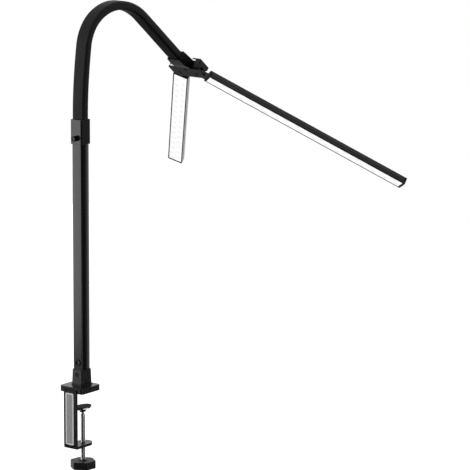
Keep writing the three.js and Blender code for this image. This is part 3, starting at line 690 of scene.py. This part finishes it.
def make_thumb_screw():
    """The collar's thumb screw, with a straight knurl round its head."""
    count = 2 * THUMB["ridges"]
    outer, inner = THUMB["from"], THUMB["to"]
    radius, chamfer = THUMB["radius"], THUMB["chamfer"]

    def ring(x, ridge_radius, groove=0):
        points = []
        for k in range(count):
            angle = 2 * math.pi * k / count
            reach = ridge_radius - groove * (k % 2)
            points.append((x, reach * math.sin(angle), THUMB["z"] + reach * math.cos(angle)))
        return points

    points = ring(inner, radius - chamfer, THUMB["groove"])
    points += ring(inner - chamfer, radius, THUMB["groove"])
    points += ring(outer + chamfer, radius, THUMB["groove"])
    points += ring(outer, radius - chamfer, THUMB["groove"])
    points += ring(outer, THUMB["recess_radius"])
    points += ring(outer + THUMB["recess_depth"], THUMB["recess_radius"])
    starts = range(0, len(points), count)
    faces = [tuple(range(count)), tuple(range(starts[-1], len(points)))]
    for here, there in zip(starts, starts[1:]):
        faces += quad_ring(here, there, count)
    head = from_lists("thumb_screw_head", points, faces, "black_paint")
    stand_for(smooth(head, sharp_degrees=20), "thumb_screw")


refine_all(CLAMP_EDGES)
make_pole()
refine_all(FITTING_EDGES)
make_clamp_screw()
make_thumb_screw()

# ------------------------------------------------------------------ light bars


def bar_frame(name):
    """The matrix, in millimetres, that places a bar's own frame: X along it, Z away from its light."""
    joint = joints[f"{name}_fold"]
    up = Vector(joint["axis"])
    heading = Vector((0, 1, 0)).cross(up)
    turn = math.radians(BAR_ANGLES[name])
    along = heading * math.cos(turn) + up.cross(heading) * math.sin(turn)
    across = up.cross(along)
    turned_axes = Matrix((along, across, up)).transposed().to_4x4()
    return Matrix.Translation(Vector(joint["pos_m"]) / MM) @ turned_axes


def channel_outline():
    """The channel's section: open below between two lips, with a groove along each side."""
    half, top, bottom, edge = BAR["half"], BAR["top"], BAR["bottom"], BAR["edge"]
    inner, ceiling = half - BAR["wall"], top - BAR["wall"]
    low, high, depth = BAR["groove_low"], BAR["groove_high"], BAR["groove_depth"]
    cut = edge / 4
    right = [
        (BAR["lip_half"], BAR["lip_top"]), (BAR["lip_half"], bottom), (half - edge, bottom),
        (half - cut, bottom + cut), (half, bottom + edge), (half, low),
        (half - depth, low + depth), (half - depth, high - depth), (half, high), (half, top - edge),
        (half - cut, top - cut), (half - edge, top),
    ]
    left = [(-y, z) for y, z in reversed(right)]
    inside = [
        (-inner, BAR["lip_top"]), (-inner, ceiling), (inner, ceiling), (inner, BAR["lip_top"]),
    ]
    return right + left + inside


def diffuser_outline():
    """The diffuser's section: a flat strip with its lower corners cut."""
    half, edge = DIFFUSER["half"], DIFFUSER["edge"]
    low = BAR["bottom"] + DIFFUSER["recess"]
    high = low + DIFFUSER["thickness"]
    return [
        (-half, low + edge), (edge - half, low), (half - edge, low), (half, low + edge),
        (half, high), (-half, high),
    ]


def make_bar(name):
    place = bar_frame(name)
    place.translation *= MM
    x0 = BAR["start"] + BAR["cap"] + BAR["gap"]
    x1 = BAR["end"] - BAR["cap"] - BAR["gap"]
    channel = extruded(f"{name}_profile", channel_outline(), x0, x1, "black_aluminium")
    diffuser = extruded(f"{name}_opal", diffuser_outline(), x0, x1, "opal")
    for made, node in ((channel, f"{name}_channel"), (diffuser, f"{name}_diffuser")):
        made.matrix_world = place
        stand_for(smooth(made, sharp_degrees=30), node)
    refine_all(BAR_EDGES, f"{name}_")


for bar in BAR_ANGLES:
    make_bar(bar)

# ------------------------------------------------------------------------- hub

refine_all(HUB_EDGES)

# ----------------------------------------------------------------------- stage


def make_floor():
    """A round pale floor that lies under the lamp and behind it, as the camera sees it."""
    mesh = bpy.data.meshes.new("floor")
    with edited(mesh) as work:
        bmesh.ops.create_circle(work, cap_ends=True, segments=FLOOR["sides"], radius=FLOOR["radius"])
    floor = in_scene("floor", mesh)
    back = Vector(FLOOR["towards_camera"]) * -FLOOR["setback"]
    floor.location = (back.x, back.y, cad_low.z - FLOOR["drop"])
    shader = Shader("pale_floor", Roughness=0.9, Specular_IOR_Level=0.1, Emission_Strength=0.95)
    cloud = shader.noise(FLOOR["cloud_mm"])
    shader.link(shader.tint(cloud, FLOOR["dark"], FLOOR["light"]), "Base Color")
    shader.surface.inputs["Emission Color"].default_value = WHITE
    mesh.materials.append(shader.material)
    floor.visible_glossy = False
    floor.visible_diffuse = False


def make_world():
    """A white studio: dark on the camera's side, dim below, with an even ceiling."""
    world = bpy.data.worlds.new("studio")
    bpy.context.scene.world = world
    world.use_nodes = True
    studio = Nodes(world.node_tree)

    def fade(value, **ends):
        return studio.ramp(value, **ends, interpolation_type="SMOOTHSTEP")

    direction = studio.add("ShaderNodeTexCoord").outputs["Generated"]
    sides = {0: direction, 1: STUDIO["dark_side"]}
    share = studio.add("ShaderNodeVectorMath", sides, operation="DOT_PRODUCT").outputs["Value"]
    height = studio.add("ShaderNodeSeparateXYZ", {"Vector": direction}).outputs["Z"]
    walls = studio.compute("MULTIPLY", fade(share, **STUDIO["walls"]), fade(height, **STUDIO["below"]))
    room = fade(height, low=walls, **STUDIO["ceiling"])
    camera_sees = studio.add("ShaderNodeLightPath").outputs["Is Camera Ray"]
    background = studio.nodes["Background"]
    studio.links.new(studio.compute("MAXIMUM", camera_sees, room), background.inputs["Strength"])
    background.inputs["Color"].default_value = WHITE


def make_softbox(name, place, target, width, height, watts):
    data = bpy.data.lights.new(name, "AREA")
    data.shape = "RECTANGLE"
    data.size = width
    data.size_y = height
    data.energy = watts
    light = in_scene(name, data)
    light.location = place
    aim = Vector(target) - Vector(place)
    light.rotation_euler = aim.to_track_quat("-Z", "Y").to_euler()


make_floor()
make_world()
for name, settings in SOFTBOXES.items():
    make_softbox(name, **settings)

bpy.context.scene.view_settings.view_transform = "Standard"
bpy.context.scene.view_settings.look = "None"
